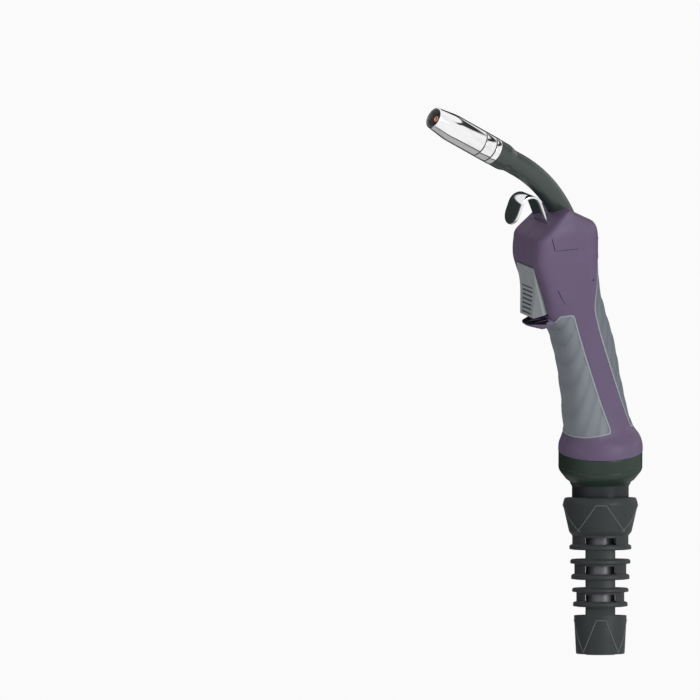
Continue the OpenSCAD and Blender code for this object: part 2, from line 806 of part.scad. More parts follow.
// The housing that carries the ball: the shells close round its groove
module knuckle_housing() {
    color("#2b2e30") difference() {
        union() {
            translate([0, 0, spigot_low]) cylinder(d = spigot_d, h = web_low - spigot_low);
            translate([0, 0, web_low - eps]) cylinder(r = groove_r, h = web_high - web_low + 2 * eps);
            translate([0, 0, web_high]) cylinder(r = lip_r, h = lip_top - web_high);
        }
        translate([0, 0, spigot_low - 1]) cylinder(d = spigot_bore, h = web_low - spigot_low + 1);
        translate([0, 0, web_low - 1]) cylinder(d = spigot_bore - 5.4, h = far);
    }
}

module swivel_ring() {
    color("#d8d4c6") difference() {
        translate([0, 0, 7]) cylinder(d = spigot_bore - 2 * run_gap, h = 6.6);
        sphere(ball_r + run_gap, $fn = 96);
    }
}

// Places what is drawn down the exit axis, for the pieces that move with the ball
module in_support() {
    rotate([0, 0, support_turn]) rotate([-support_tilt, 0, 0]) children();
}

module knuckle_ball() {
    color("#34393b") in_support() difference() {
        union() {
            intersection() {
                sphere(ball_r, $fn = 96);
                translate([0, 0, -ball_r - 1]) cylinder(r = ball_r + 1, h = ball_r + 1 + ball_top);
            }
            translate([0, 0, ball_low]) cylinder(d = ball_neck_d, h = -ball_low - 6);
        }
        translate([0, 0, ball_low - 1]) cylinder(d = cable_bore, h = ball_top - ball_low + 2);
    }
}

// ---------- Cable support ----------
sleeve_r = cable_bore / 2 + 1.3;
support_low = -support_drop - support_length;
socket_depth = 13;
chamfer_h = 2.5;
gaps = [6, 5.3, 5.6];
windows = [5.8, 6.5, 6];
ribs = [3.5, 3.3, 3.7, 3, 3.5];
waists = [rib_d - 3.8, rib_d - 6.6, rib_d - 9.2];

// Height of each step below the support's top
function total(list, n) = n <= 0 ? 0 : list[n - 1] + total(list, n - 1);
stack = [windows[0], ribs[0], gaps[0], ribs[1], windows[1], ribs[2], gaps[1], ribs[3], windows[2],
    ribs[4], gaps[2]];
function step_z(n) = -support_drop - support_head - total(stack, n);
foot_top = step_z(11);

module ring_z(top, height, d) {
    translate([0, 0, top - height]) cylinder(d = d, h = height);
}

// A raised outline that climbs each of the four sides
module chevrons(top, height, d, lean) {
    for (a = [0 : 90 : 270]) rotate([0, 0, a]) intersection() {
        translate([0, 0, top - height]) rotate([90, 0, 0]) linear_extrude(far) difference() {
            polygon([[-d * 0.36, 0], [-3.5, height], [3.5, height], [d * 0.36, 0]]);
            polygon([[-d * 0.36 + 1.3, -eps], [-2.9, height - 0.9], [2.9, height - 0.9],
                [d * 0.36 - 1.3, -eps]]);
        }
        translate([0, 0, top - height]) cylinder(d1 = d - lean, d2 = d, h = height);
    }
}

module support_head_form() {
    top = -support_drop;
    mid = support_d - 8.4;
    translate([0, 0, top - 4]) cylinder(d1 = support_d, d2 = support_d - 2.6, h = 4);
    translate([0, 0, top - support_head + chamfer_h])
        cylinder(d1 = mid, d2 = support_d, h = support_head - 4 - chamfer_h);
    translate([0, 0, top - support_head]) cylinder(d1 = waists[0], d2 = mid, h = chamfer_h);
    chevrons(top - 4.6, support_head - 4.6 - chamfer_h, support_d - 0.1, 6.6);
}

module support_body() {
    color("#26292b") in_support() difference() {
        union() {
            support_head_form();
            for (i = [0 : 2]) ring_z(step_z(4 * i) + eps, windows[i] + 2 * eps, waists[i]);
            for (i = [0 : 4]) ring_z(step_z(1 + 2 * i), ribs[i], rib_d - 1.2 * i);
            for (i = [0 : 2]) ring_z(step_z(2 + 4 * i) + eps, gaps[i] + 2 * eps, rib_d - 6 - 2.4 * i);
            translate([0, 0, support_low])
                cylinder(d1 = rib_d - 8.8, d2 = rib_d - 6.1, h = foot_top - support_low);
            chevrons(foot_top - 2, foot_top - support_low - 3, rib_d - 5.7, 2.4);
        }
        // Socket for the ball's neck, then the bore for the inner sleeve
        translate([0, 0, -support_drop - socket_depth]) cylinder(d = ball_neck_d + 2 * seat_gap, h = far);
        translate([0, 0, support_low - 1]) cylinder(r = sleeve_r + seat_gap, h = support_length + 2);
        // Slots between the ribs, open to the sides
        for (i = [0 : 2]) slots(step_z(3 + 4 * i), gaps[i]);
        // Windows in the waists, open to the front and the back
        for (i = [0 : 2]) translate([-10, -far / 2, step_z(1 + 4 * i)]) cube([20, far, windows[i] - 1.2]);
    }
}

module slots(low, height) {
    for (side = [-1, 1]) translate([side > 0 ? web_w / 2 : -far - web_w / 2, -far / 2, low])
        cube([far, far, height]);
}

module support_sleeve() {
    color("#4a4d50") in_support() difference() {
        translate([0, 0, support_low - 0.6])
            cylinder(r = sleeve_r, h = support_length - socket_depth + 0.6 - seat_gap);
        translate([0, 0, support_low - 2]) cylinder(d = cable_bore + 0.4, h = support_length);
    }
}

echo("least gap between the nozzle spring's turns", nozzle_spring_gap);
echo("least gap between the trigger spring's turns", return_h / return_turns - return_wire);

handle_left();
handle_right();
upper_grip_left();
upper_grip_right();
lower_grip_left();
lower_grip_right();
housing_screws();
neck_saddle();
hanging_hook();
neck_jacket();
neck_insulation();
neck_conductor();
wire_liner();
neck_union();
union_o_ring();
tip_holder();
nozzle_spring();
contact_tip();
gas_nozzle();
nozzle_bush();
trigger();
trigger_pin();
trigger_spring();
switch_body();
switch_plunger();
switch_terminals();
rear_collar();
knuckle_housing();
swivel_ring();
knuckle_ball();
support_body();
support_sleeve();
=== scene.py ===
"""Dresses the welding torch: smooth shells with their soft grips, the bent neck and its plated
nozzle, the hanging hook, the ribbed trigger, the ball knuckle and the slotted cable support.
Sizes are millimetres in the maker's own frames and metres once a piece is placed."""

import json
import math

import bmesh
import bpy
from mathutils import Matrix, Vector


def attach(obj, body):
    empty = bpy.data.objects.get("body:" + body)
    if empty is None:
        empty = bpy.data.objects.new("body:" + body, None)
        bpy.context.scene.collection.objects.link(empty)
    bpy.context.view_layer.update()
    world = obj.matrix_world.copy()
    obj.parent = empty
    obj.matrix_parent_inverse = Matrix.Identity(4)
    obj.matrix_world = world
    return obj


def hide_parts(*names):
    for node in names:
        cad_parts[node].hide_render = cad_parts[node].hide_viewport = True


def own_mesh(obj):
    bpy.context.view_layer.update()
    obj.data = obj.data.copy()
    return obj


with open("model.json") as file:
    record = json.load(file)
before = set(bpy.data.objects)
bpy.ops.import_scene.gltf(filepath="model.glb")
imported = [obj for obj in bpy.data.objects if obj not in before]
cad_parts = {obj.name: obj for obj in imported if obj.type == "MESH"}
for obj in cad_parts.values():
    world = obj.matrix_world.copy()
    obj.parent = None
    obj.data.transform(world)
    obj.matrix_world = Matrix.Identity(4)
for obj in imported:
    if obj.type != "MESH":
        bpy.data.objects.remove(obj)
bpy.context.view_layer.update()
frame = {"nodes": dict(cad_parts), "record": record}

MM = 0.001
EXIT_ANGLE = 15
NECK_ANGLE = 43
NOSE_X = 186
GUARD_X = 121
NECK_HEIGHT = 18.65
NECK_BEND_R = 95
NECK_START_X = NOSE_X - 26.8
NECK_FRONT = 22


# ---------- Frames ----------
def turn(degrees, axis):
    return Matrix.Rotation(math.radians(degrees), 4, axis)


def neck_place(bend, ahead=0.0):
    """Centre of the neck at a bend in degrees, in the handle's x and z, ahead along the neck."""
    a = math.radians(bend)
    return (
        NECK_START_X + NECK_BEND_R * math.sin(a) + ahead * math.cos(a),
        NECK_HEIGHT - NECK_BEND_R * (1 - math.cos(a)) - ahead * math.sin(a),
    )


ROW = Matrix.Identity(4)
HANDLE = turn(90 - EXIT_ANGLE, "Y") @ turn(180, "Z")
NECK_END_X, NECK_END_Z = neck_place(NECK_ANGLE, NECK_FRONT)
NOZZLE = (
    HANDLE
    @ Matrix.Translation((NECK_END_X * MM, 0, NECK_END_Z * MM))
    @ turn(90 + NECK_ANGLE, "Y")
)
SUPPORT_WAY, SUPPORT_LEAN = -31, -15
SUPPORT = turn(SUPPORT_WAY, "Z") @ turn(SUPPORT_LEAN, "X")


# ---------- Camera, floor and light ----------
def look(azimuth, elevation, right, up, deep, away, across):
    """A camera that sees a width across of the object, from an angle round it."""
    a, e = math.radians(azimuth), math.radians(elevation)
    x_axis = Vector((math.cos(a), math.sin(a), 0))
    z_axis = Vector((math.sin(a) * math.cos(e), -math.cos(a) * math.cos(e), math.sin(e)))
    y_axis = z_axis.cross(x_axis)
    camera = bpy.data.cameras.new("camera")
    camera.lens = camera.sensor_width * away / across
    holder = bpy.data.objects.new("camera", camera)
    bpy.context.scene.collection.objects.link(holder)
    place = Matrix((x_axis, y_axis, z_axis)).transposed().to_4x4()
    place.translation = x_axis * right + y_axis * up + z_axis * (deep + away)
    holder.matrix_world = place
    bpy.context.scene.camera = holder


look(-31, 15.5, right=-0.1638, up=0.0784, deep=0.0466, away=7, across=0.455)
bpy.context.scene.view_settings.view_transform = "Standard"


# ---------- Shader maths ----------
class Level:
    """A number that a material works out over a surface. Sums on it add Math nodes."""

    def __init__(self, paint, socket):
        self.paint = paint
        self.socket = socket

    def maths(self, kind, *others):
        values = {i: v for i, v in enumerate(others)}
        return self.paint.node("ShaderNodeMath", {"operation": kind}, values)

    def __add__(self, other):
        return self.maths("ADD", self, other)

    def __sub__(self, other):
        return self.maths("SUBTRACT", self, other)

    def __rsub__(self, other):
        return self.maths("SUBTRACT", other, self)

    def __mul__(self, other):
        return self.maths("MULTIPLY", self, other)

    def __truediv__(self, other):
        return self.maths("DIVIDE", self, other)

    __radd__ = __add__
    __rmul__ = __mul__

    def above(self, edge, soft=0.01):
        """From 0 below an edge to 1 above it, over a soft width."""
        values = {"Value": self, "From Min": edge - soft, "From Max": edge + soft}
        return self.paint.node("ShaderNodeMapRange", {"clamp": True}, values)

    def size(self):
        return self.maths("ABSOLUTE", self)

    def wave(self):
        return self.maths("SINE", self)


class Paint:
    """A material being made, from its shader's plain values."""

    def __init__(self, name, world=None, **plain):
        self.holder = world or bpy.data.materials.new(name)
        self.holder.use_nodes = True
        self.tree = self.holder.node_tree
        if world:
            return
        self.shader = self.tree.nodes["Principled BSDF"]
        for socket, value in plain.items():
            socket = socket.replace("_", " ").title().replace("Ior", "IOR")
            self.shader.inputs[socket].default_value = value

    def node(self, kind, settings=None, values=None, out=0):
        made = self.tree.nodes.new(kind)
        for key, value in (settings or {}).items():
            if key == "stops":
                band = made.color_ramp.elements
                while len(band) < len(value):
                    band.new(0.5)
                for stop, (place, colour) in zip(band, value):
                    stop.position, stop.color = place, (*colour, 1)
            else:
                setattr(made, key, value)
        for key, value in (values or {}).items():
            self.feed(made.inputs[key], value)
        return Level(self, made.outputs[out])

    def feed(self, socket, value):
        if isinstance(value, Level):
            self.tree.links.new(value.socket, socket)
        else:
            socket.default_value = value

    def place(self):
        """Where a point lies in its own piece, in metres."""
        return self.node("ShaderNodeTexCoord", out="Object")

    def axes(self, vector=None):
        split = self.node("ShaderNodeSeparateXYZ", values={0: vector or self.place()})
        return [Level(self, socket) for socket in split.socket.node.outputs]

    def grain(self, size, detail=3.0, stretch=None):
        """Noise between 0 and 1 whose grains are size millimetres across."""
        where = self.place()
        if stretch:
            where = self.node(
                "ShaderNodeVectorMath", {"operation": "MULTIPLY"}, {0: where, 1: stretch}
            )
        values = {"Vector": where, "Scale": 1 / (size * MM), "Detail": detail}
        return self.node("ShaderNodeTexNoise", values=values)

    def mix(self, factor, one, two):
        """Colour one where the factor is 0, and colour two where it is 1."""
        one, two = [(*c, 1) if isinstance(c, tuple) and len(c) == 3 else c for c in (one, two)]
        values = {0: factor, 6: one, 7: two}
        return self.node("ShaderNodeMix", {"data_type": "RGBA"}, values, out=2)

    def finish(self, colour=None, roughness=None, metallic=None, height=None, depth=0.1):
        """Wires what varies into the shader; depth is the relief's height in millimetres."""
        for socket, value in (
            ("Base Color", colour),
            ("Roughness", roughness),
            ("Metallic", metallic),
        ):
            if value is not None:
                self.feed(self.shader.inputs[socket], value)
        if height is not None:
            values = {"Strength": 1.0, "Distance": depth * MM, "Height": height}
            self.feed(self.shader.inputs["Normal"], self.node("ShaderNodeBump", values=values))
        return self.holder


def srgb(red, green, blue):
    """A colour on a screen, 0 to 255, as the shader's linear numbers."""
    return tuple(
        c / 255 / 12.92 if c <= 10 else ((c / 255 + 0.055) / 1.055) ** 2.4
        for c in (red, green, blue)
    )


def shade(colour, share):
    return tuple(min(1.0, c * share) for c in colour)


# ---------- Finishes ----------
def moulded(name, colour, gloss=0.45, spread=0.1, texture=0.35, relief=0.02, shine=0.25):
    """Moulded plastic: a fine spark-eroded texture, slow drifts of tone and faint rub marks."""
    paint = Paint(name, roughness=gloss, specular_ior_level=shine)
    drift = paint.grain(26, 2)
    fleck = paint.grain(0.5, 2)
    rubbed = paint.grain(7, 5, (1, 1, 0.35)).above(0.62, 0.08)
    tone = drift * 0.7 + fleck * 0.3
    base = paint.mix(tone, shade(colour, 1 - spread), shade(colour, 1 + spread))
    base = paint.mix(rubbed * 0.12, base, shade(colour, 1.5))
    rough = gloss + (drift - 0.5) * 0.12 - rubbed * 0.08
    return paint.finish(base, rough, height=paint.grain(texture, 2), depth=relief)


def streaked(name, colour):
    """The grips: soft rubber whose slanted valleys are darkened with painted shade, more in some stretches
    than others.
    """
    paint = Paint(name, roughness=0.6, specular_ior_level=0.25)
    x, y, z = paint.axes()
    lead = (x - z * 1.7) / (14 * MM)
    part = lead.maths("FRACT", lead)
    wave = part.maths("MINIMUM", part / 0.72, (1 - part) / 0.28)
    painted_valley_shade = (1 - wave.above(0.3, 0.3)) * (paint.grain(14, 2) * 0.8 + 0.2)
    patch = paint.grain(9, 3)
    base = paint.mix(patch, shade(colour, 0.92), shade(colour, 1.08))
    # Painted shade: the colour darkens in the valleys of the streaked relief
    base = paint.mix(painted_valley_shade * 0.4, base, shade(colour, 0.55))
    return paint.finish(base, 0.55 + painted_valley_shade * 0.15, height=paint.grain(0.9, 1), depth=0.04)


def soft_touch(name, colour, gloss=0.62):
    """Soft rubber: matte, with a dense stipple and dust that lies in broad patches."""
    paint = Paint(name, roughness=gloss, sheen_weight=0.06, specular_ior_level=0.25)
    stipple = paint.grain(0.9, 1)
    patch = paint.grain(12, 3)
    dust = patch.above(0.56, 0.12)
    base = paint.mix(patch, shade(colour, 0.9), shade(colour, 1.08))
    base = paint.mix(dust * 0.1, base, shade(colour, 1.35))
    return paint.finish(base, gloss + dust * 0.12 - stipple * 0.05, height=stipple, depth=0.05)


def plated(name, colour, gloss=0.07, turned_marks=True):
    """Bright plating over turned metal, with rings from the lathe and a few dull smears."""
    paint = Paint(name, metallic=1.0, roughness=gloss)
    x, y, z = paint.axes()
    rings = (z * (2 * math.pi / (0.55 * MM)) + paint.grain(2, 2) * 2.0).wave()
    smear = paint.grain(6, 4, (1, 1, 0.4)).above(0.6, 0.1)
    base = paint.mix(smear * 0.35, colour, shade(colour, 0.72))
    rough = gloss + smear * 0.06 + paint.grain(1.2, 2) * 0.02
    height = rings * 0.5 if turned_marks else paint.grain(0.6, 3)
    return paint.finish(base, rough, height=height, depth=0.0015)


def raw_metal(name, colour, gloss=0.3, stain=0.35):
    """Bare drawn or turned metal, darker where it has aged."""
    paint = Paint(name, metallic=1.0, roughness=gloss)
    aged = paint.grain(3.5, 5)
    marks = paint.grain(0.4, 2, (1, 1, 6))
    base = paint.mix(aged.above(0.55, 0.15) * stain, colour, shade(colour, 0.4))
    return paint.finish(base, gloss + aged * 0.18, height=marks, depth=0.01)


def spattered(name, colour):
    """The inside of the nozzle's mouth: plating dulled by heat and soot towards the front."""
    paint = Paint(name, metallic=0.15, roughness=0.45)
    x, y, z = paint.axes()
    soot = (z / (53 * MM)).above(0.8, 0.2) * 0.4 + paint.grain(2.5, 5) * 0.5
    base = paint.mix(soot, colour, shade(colour, 0.15))
    return paint.finish(base, 0.3 + soot * 0.4, height=paint.grain(0.8, 3), depth=0.03)


VIOLET = srgb(101, 86, 113)
GREY = srgb(129, 134, 141)
FINISH = {
    "shell_plastic": moulded("violet_shell", VIOLET, gloss=0.5, spread=0.06),
    "soft_grip": streaked("grey_grip", GREY),
    "trigger_plastic": moulded("grey_trigger", srgb(124, 129, 132), gloss=0.45, spread=0.08),
    "zinc_steel": plated("zinc_plating", (0.62, 0.62, 0.6), 0.25, turned_marks=False),
    "black_plastic": moulded("black_plastic", (0.022, 0.022, 0.024), gloss=0.5),
    "hook_chrome": plated("hook_chrome", (0.8, 0.81, 0.83), 0.08, turned_marks=False),
    "neck_cover": moulded(
        "neck_cover", srgb(46, 57, 52), gloss=0.32, spread=0.14, relief=0.01, shine=0.6
    ),
    "insulation": moulded("cream_insulation", srgb(226, 220, 204), gloss=0.6),
    "copper": raw_metal("copper", (0.83, 0.4, 0.24), 0.28),
    "brass": raw_metal("brass", (0.78, 0.6, 0.3), 0.26, stain=0.25),
    "liner_steel": raw_metal("liner_steel", (0.5, 0.51, 0.53), 0.3),
    "seal_rubber": soft_touch("seal_rubber", (0.02, 0.02, 0.02), 0.5),
    "spring_steel": raw_metal("spring_steel", (0.56, 0.57, 0.6), 0.22, stain=0.15),
    "nozzle_chrome": plated("nozzle_chrome", (0.9, 0.9, 0.9), 0.05),
    "bush_plastic": moulded("brown_bush", srgb(98, 72, 52), gloss=0.6, spread=0.2),
    "switch_plastic": moulded("switch_plastic", (0.025, 0.027, 0.03), gloss=0.4),
    "plunger_red": moulded("red_plunger", srgb(196, 60, 44), gloss=0.35),
    "collar_plastic": moulded(
        "collar_plastic", srgb(38, 52, 44), gloss=0.36, spread=0.16, relief=0.02, shine=0.3
    ),
    "ring_plastic": moulded("white_ring", srgb(218, 214, 202), gloss=0.4),
    "ball_plastic": moulded("ball_plastic", srgb(33, 36, 41), gloss=0.34, spread=0.12),
    "support_rubber": soft_touch("support_rubber", srgb(47, 51, 52), 0.5),
    "sleeve_plastic": moulded("sleeve_plastic", srgb(112, 115, 120), gloss=0.3),
}
NOZZLE_INSIDE = spattered("nozzle_inside", (0.58, 0.59, 0.58))
# Painted shade: the upper grips are the same grey rubber, given a darker copy of it
GRIP_BACK_SHADED = streaked("grey_grip_back_painted_shade", srgb(111, 116, 124))
# Painted highlight: the smooth rim round each grip is a lighter grey than the grip
GRIP_RIM_HIGHLIGHT = soft_touch("grip_rim", srgb(146, 152, 160), 0.5)
# Painted highlight: the raised outlines on the support are lighter than its rubber
RIDGE_HIGHLIGHT = soft_touch("support_ridge_painted_highlight", srgb(90, 94, 94), 0.45)
# Painted light: the finger face is the trigger's own grey, lightened as if lit
FINGER_FACE_LIT = moulded("trigger_finger_face_painted_light", srgb(150, 155, 158), gloss=0.5, spread=0.08)
# Painted shade: the grooves across the finger face are darkened
FINGER_GROOVE_SHADE = moulded("trigger_groove_painted_shade", srgb(66, 72, 76), gloss=0.6, spread=0.05)
# Painted shadow: the guard's hollow is near black, where the trigger's shade falls
GUARD_HOLLOW_SHADOW = moulded("guard_hollow_painted_shadow", (0.006, 0.005, 0.008), gloss=0.7, texture=0.1, shine=0.06)
# Painted shade in the nozzle's two grooves
GROOVE_SHADE = raw_metal("groove_painted_shade", (0.1, 0.1, 0.1), 0.5)


# ---------- Making solids ----------
def solid(bm):
    """A loose object from a finished bmesh, whose faces all point outwards."""
    bmesh.ops.recalc_face_normals(bm, faces=bm.faces)
    mesh = bpy.data.meshes.new("solid")
    bm.to_mesh(mesh)
    bm.free()
    made = bpy.data.objects.new("solid", mesh)
    bpy.context.scene.collection.objects.link(made)
    return made


def skin(rings, loop=False):
    """A closed skin over rings of points. With loop, the last ring joins the first."""
    bm = bmesh.new()
    rows = [[bm.verts.new(p) for p in ring] for ring in rings]
    count = len(rings[0])
    for low, high in zip(rows, rows[1:] + rows[:1] if loop else rows[1:]):
        for k in range(count):
            n = (k + 1) % count
            bm.faces.new((low[k], low[n], high[n], high[k]))
    if not loop:
        bm.faces.new(rows[0])
        bm.faces.new(rows[-1])
    return solid(bm)


def eased(corners, cuts=4):
    """An outline with rounded corners. Each corner is its two places and its radius."""
    points = []
    for i, (a, b, *ease) in enumerate(corners):
        here = Vector((a, b))
        if not ease:
            points.append(here)
            continue
        back = Vector(corners[i - 1][:2]) - here
        ahead = Vector(corners[(i + 1) % len(corners)][:2]) - here
        start = here + back.normalized() * min(ease[0], back.length * 0.48)
        end = here + ahead.normalized() * min(ease[0], ahead.length * 0.48)
        for k in range(cuts + 1):
            t = k / cuts
            points.append((1 - t) ** 2 * start + 2 * t * (1 - t) * here + t * t * end)
    return points


def turned(corners, count=112):
    """A lathed ring from its section's radius and height."""
    section = eased(corners)
    angles = [2 * math.pi * k / count for k in range(count)]
    rings = [[(p[0] * math.cos(a), p[0] * math.sin(a), p[1]) for p in section] for a in angles]
    return skin(rings, loop=True)


def plate(corners, width, middle=0.0):
    """A side profile in x and z, with a width across y."""
    outline = eased(corners)
    return skin([[(p[0], middle + y, p[1]) for p in outline] for y in (-width / 2, width / 2)])


def box(low, high):
    (a, b, c), (d, e, f) = low, high
    return skin([[(a, b, z), (d, b, z), (d, e, z), (a, e, z)] for z in (c, f)])


def rod(start, end, radius, count=32, radius_end=None):
    start, end = Vector(start), Vector(end)
    way = (end - start).to_track_quat("Z", "Y")
    rings = []
    for centre, r in ((start, radius), (end, radius if radius_end is None else radius_end)):
        turns = [2 * math.pi * k / count for k in range(count)]
        rings.append([centre + way @ Vector((r * math.cos(a), r * math.sin(a), 0)) for a in turns])
    return skin(rings)


def wrapped(balls, count=20):
    """The smooth lump stretched over balls: each is its centre, radius and stretch in z."""
    bm = bmesh.new()
    for (x, y, z), radius, stretch in balls:
        for i in range(count // 2 + 1):
            low, out = math.cos(2 * math.pi * i / count), math.sin(2 * math.pi * i / count)
            for k in range(count if 0 < i < count // 2 else 1):
                a = 2 * math.pi * k / count
                spot = (out * math.cos(a), out * math.sin(a), low * stretch)
                bm.verts.new(Vector((x, y, z)) + Vector(spot) * radius)
    bmesh.ops.convex_hull(bm, input=bm.verts, use_existing_faces=False)
    inside = [v for v in bm.verts if not v.link_faces]
    bmesh.ops.delete(bm, geom=inside, context="VERTS")
    return solid(bm)


def combine(base, others, how="DIFFERENCE"):
    """Cuts the others out of the base, or joins them to it."""
    for other in others:
        tool = base.modifiers.new("tool", "BOOLEAN")
        tool.operation = how
        tool.solver = "MANIFOLD"
        tool.object = other
    bpy.context.view_layer.update()
    shape = base.evaluated_get(bpy.context.evaluated_depsgraph_get())
    mesh = bpy.data.meshes.new_from_object(shape)
    base.modifiers.clear()
    base.data = mesh
    for other in others:
        bpy.data.objects.remove(other)
    return base


def piece(name, shape, place, body, slot, *nodes, crease=30, finish=None):
    """Names a shape and sets it in the row's frame, on its body and in place of its nodes."""
    shape.name = name
    shape.data.name = name
    shape.data.transform(Matrix.Scale(MM, 4))
    if place is SUPPORT:
        shape.data.transform(place)
    else:
        shape.matrix_world = place
    shape.data.shade_smooth()
    shape.data.set_sharp_from_angle(angle=math.radians(crease))
    shape.data.materials.clear()
    shape.data.materials.append(finish or FINISH[slot])
    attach(shape, body)
    if nodes:
        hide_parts(*nodes)
    return shape


# ---------- Handle ----------
SHELL_WALL = 2.6
GRIP_THICK = 1.5
FLANGE_R = 27.7
FLANGE_Z = 13.9


def across_exit(height, radius):
    """A round section across the exit axis, as a section of the handle."""
    c, s = math.cos(math.radians(EXIT_ANGLE)), math.sin(math.radians(EXIT_ANGLE))
    low = (c * height + s * radius, s * height - c * radius)
    high = (c * height - s * radius, s * height + c * radius)
    return [*low, *high, radius, 0.5, 2, 2]


# Sections from the flange to the nose: the bottom's x and z, the top's x and z, half the width,
# the share of the height at the widest line, and how square the finger side and the back are
SECTIONS = [
    across_exit(FLANGE_Z, FLANGE_R),
    across_exit(FLANGE_Z + 4.5, FLANGE_R - 0.3),
    across_exit(FLANGE_Z + 9.5, FLANGE_R - 2),
    [34, -16.8, 25, 28.2, 20.5, 0.48, 2.2, 2.1],
    [46, -14.4, 43, 28.2, 17.9, 0.46, 2.5, 2.1],
    [65, -11.3, 65, 28.9, 17.2, 0.45, 2.7, 2.1],
    [82, -10, 82, 30.2, 17, 0.45, 2.8, 2.1],
    [96, -9.8, 96, 29.9, 17.1, 0.46, 2.9, 2],
    [109, -11.2, 109, 29, 17.5, 0.5, 3.2, 1.9],
    [121, -17, 121, 29.2, 18.2, 0.63, 4, 1.7],
    [133, -17, 133, 31.4, 19.3, 0.65, 6, 1.5],
    [146, -17.6, 146, 34.8, 19.8, 0.62, 7, 1.45],
    [158, -18.6, 158, 38.2, 19.8, 0.6, 7, 1.4],
    [165, -17.4, 165, 37.2, 19.8, 0.6, 7, 1.4],
    [171, -15.2, 171, 31.4, 19.5, 0.64, 7, 1.4],
    [175.6, -12.6, 175.6, 26.6, 18.9, 0.66, 7, 1.5],
    [180, -2.4, 180, 22, 17.65, 0.68, 7, 1.6],
    [183.7, 5.5, 183.7, 19.3, 16.5, 0.6, 5, 2],
    [185.6, 10.4, 185.6, 16.4, 15.5, 0.5, 4, 2.2],
]


def between(rows, i, t):
    """Catmull-Rom between two rows of numbers."""
    a, b = rows[max(0, i - 1)], rows[i]
    c, d = rows[i + 1], rows[min(len(rows) - 1, i + 2)]
    return [
        q + t / 2 * ((r - p) + t * ((2 * p - 5 * q + 4 * r - s) + t * (3 * q - p - 3 * r + s)))
        for p, q, r, s in zip(a, b, c, d)
    ]


def refined(rows, steps):
    finer = [between(rows, i, k / steps) for i in range(len(rows) - 1) for k in range(steps)]
    return finer + [rows[-1]]


def drawn_in(section, depth):
    low, high = Vector(section[:2]), Vector(section[2:4])
    way = (high - low).normalized() * depth
    return [*(low + way), *(high - way), section[4] - depth, *section[5:]]


def power(value, exponent):
    return math.copysign(abs(value) ** exponent, value)


def on_section(section, angle):
    c, v = math.cos(angle), math.sin(angle)
    low_x, low_z, high_x, high_z, half, widest, square_low, square_high = section
    e = 2 / (square_low if v < 0 else square_high)
    share = widest * (1 - (-v) ** e) if v < 0 else widest + (1 - widest) * v**e
    return Vector(
        (low_x + (high_x - low_x) * share, half * power(c, e), low_z + (high_z - low_z) * share)
    )


def handle_form(depth=0.0, steps=6, sides=176, rows=SECTIONS, relief=None):
    """The handle's form, drawn in by a depth. A relief raises each point by its own height."""
    angles = [2 * math.pi * (k + 0.5) / sides for k in range(sides)]
    rings = []
    for section in refined(rows, steps) if steps > 1 else rows:
        plain = drawn_in(section, depth)
        ring = [on_section(plain, a) for a in angles]
        if relief:
            raised = [drawn_in(section, depth - relief(p)) for p in ring]
            ring = [on_section(s, a) for s, a in zip(raised, angles)]
        rings.append(ring)
    return skin(rings)


# The grips' outlines on the handle's side: x, z and the corner's radius
UPPER_GRIP = [
    (143, 46, 1), (145, 27, 2.5), (117, 13.6, 6), (95, 14, 20), (64, 16.6, 20), (25, 21.4, 3),
    (23, 46, 1),
]
LOWER_GRIP = [
    (118.4, -1.3, 2.5), (95, 0.3, 20), (64, 2.1, 20), (34, 4.4, 3), (30.3, 3.2, 1.5),
    (34.3, -31, 1), (111, -31, 1), (115.4, -14.3, 1.5), (121, -11.3, 2),
]


def grown(corners, by):
    """An outline moved outwards by a seam's width."""
    centre = sum((Vector(c[:2]) for c in corners), Vector((0, 0))) / len(corners)
    points = []
    for i, corner in enumerate(corners):
        here = Vector(corner[:2])
        back = (here - Vector(corners[i - 1][:2])).normalized()
        ahead = (Vector(corners[(i + 1) % len(corners)][:2]) - here).normalized()
        out = Vector((back.y + ahead.y, -back.x - ahead.x)).normalized()
        if out.dot(here - centre) < 0:
            out = -out
        points.append((*(here + out * by), corner[2]))
    return points


def streaks(point):
    """Long slanted waves that run over the grips, steep on one side."""
    lead = (point.x - 1.7 * point.z) / 14
    along = (point.x + 0.6 * point.z) / 47
    t = lead % 1
    wave = t / 0.72 if t < 0.72 else (1 - t) / 0.28
    wave = wave * wave * (3 - 2 * wave)
    fade = 0.5 + 0.5 * math.sin(2 * math.pi * (along + 0.37 * math.floor(lead)))
    return 0.6 * wave * (0.3 + 0.7 * fade)


def groove(path, width, deep, side):
    """A cutter for a fine line engraved in the left or right flank."""
    cutters = []
    for (x0, z0), (x1, z1) in zip(path, path[1:]):
        run = Vector((x1 - x0, z1 - z0))
        across = Vector((-run.y, run.x)).normalized() * width / 2
        over = run.normalized() * width / 2
        start, end = Vector((x0, z0)) - over, Vector((x1, z1)) + over
        outline = [start + across, end + across, end - across, start - across]
        cutters.append(plate([tuple(p) for p in outline], 8, side * (FLANK_Y + 4 - deep)))
    return cutters


FLANK_Y = 19.75
GUARD_ROOT = 9
BOSS_R = 4
PIN_R = 2.15
SCREWS = [(NOSE_X - 17, -5), (NOSE_X - 43.5, 3.2), (84, -2.6), (43, -6.5)]
PIVOT = (NOSE_X - 36.5, -12.4)
SLOT_X = (GUARD_X + 0.3, NOSE_X - 28.2)
SEAM = 0.09
HOOK_X, HOOK_Z = -58.9, 186.2
HOOK_R = 6.8
HOOK_T = 1.5
HOOK_SLOPE = 22
HOOK_ROOT_RUN = 27
HOOK_END_RUN = 14
HOOK_WIDTH = 16
TRIGGER_W = 20


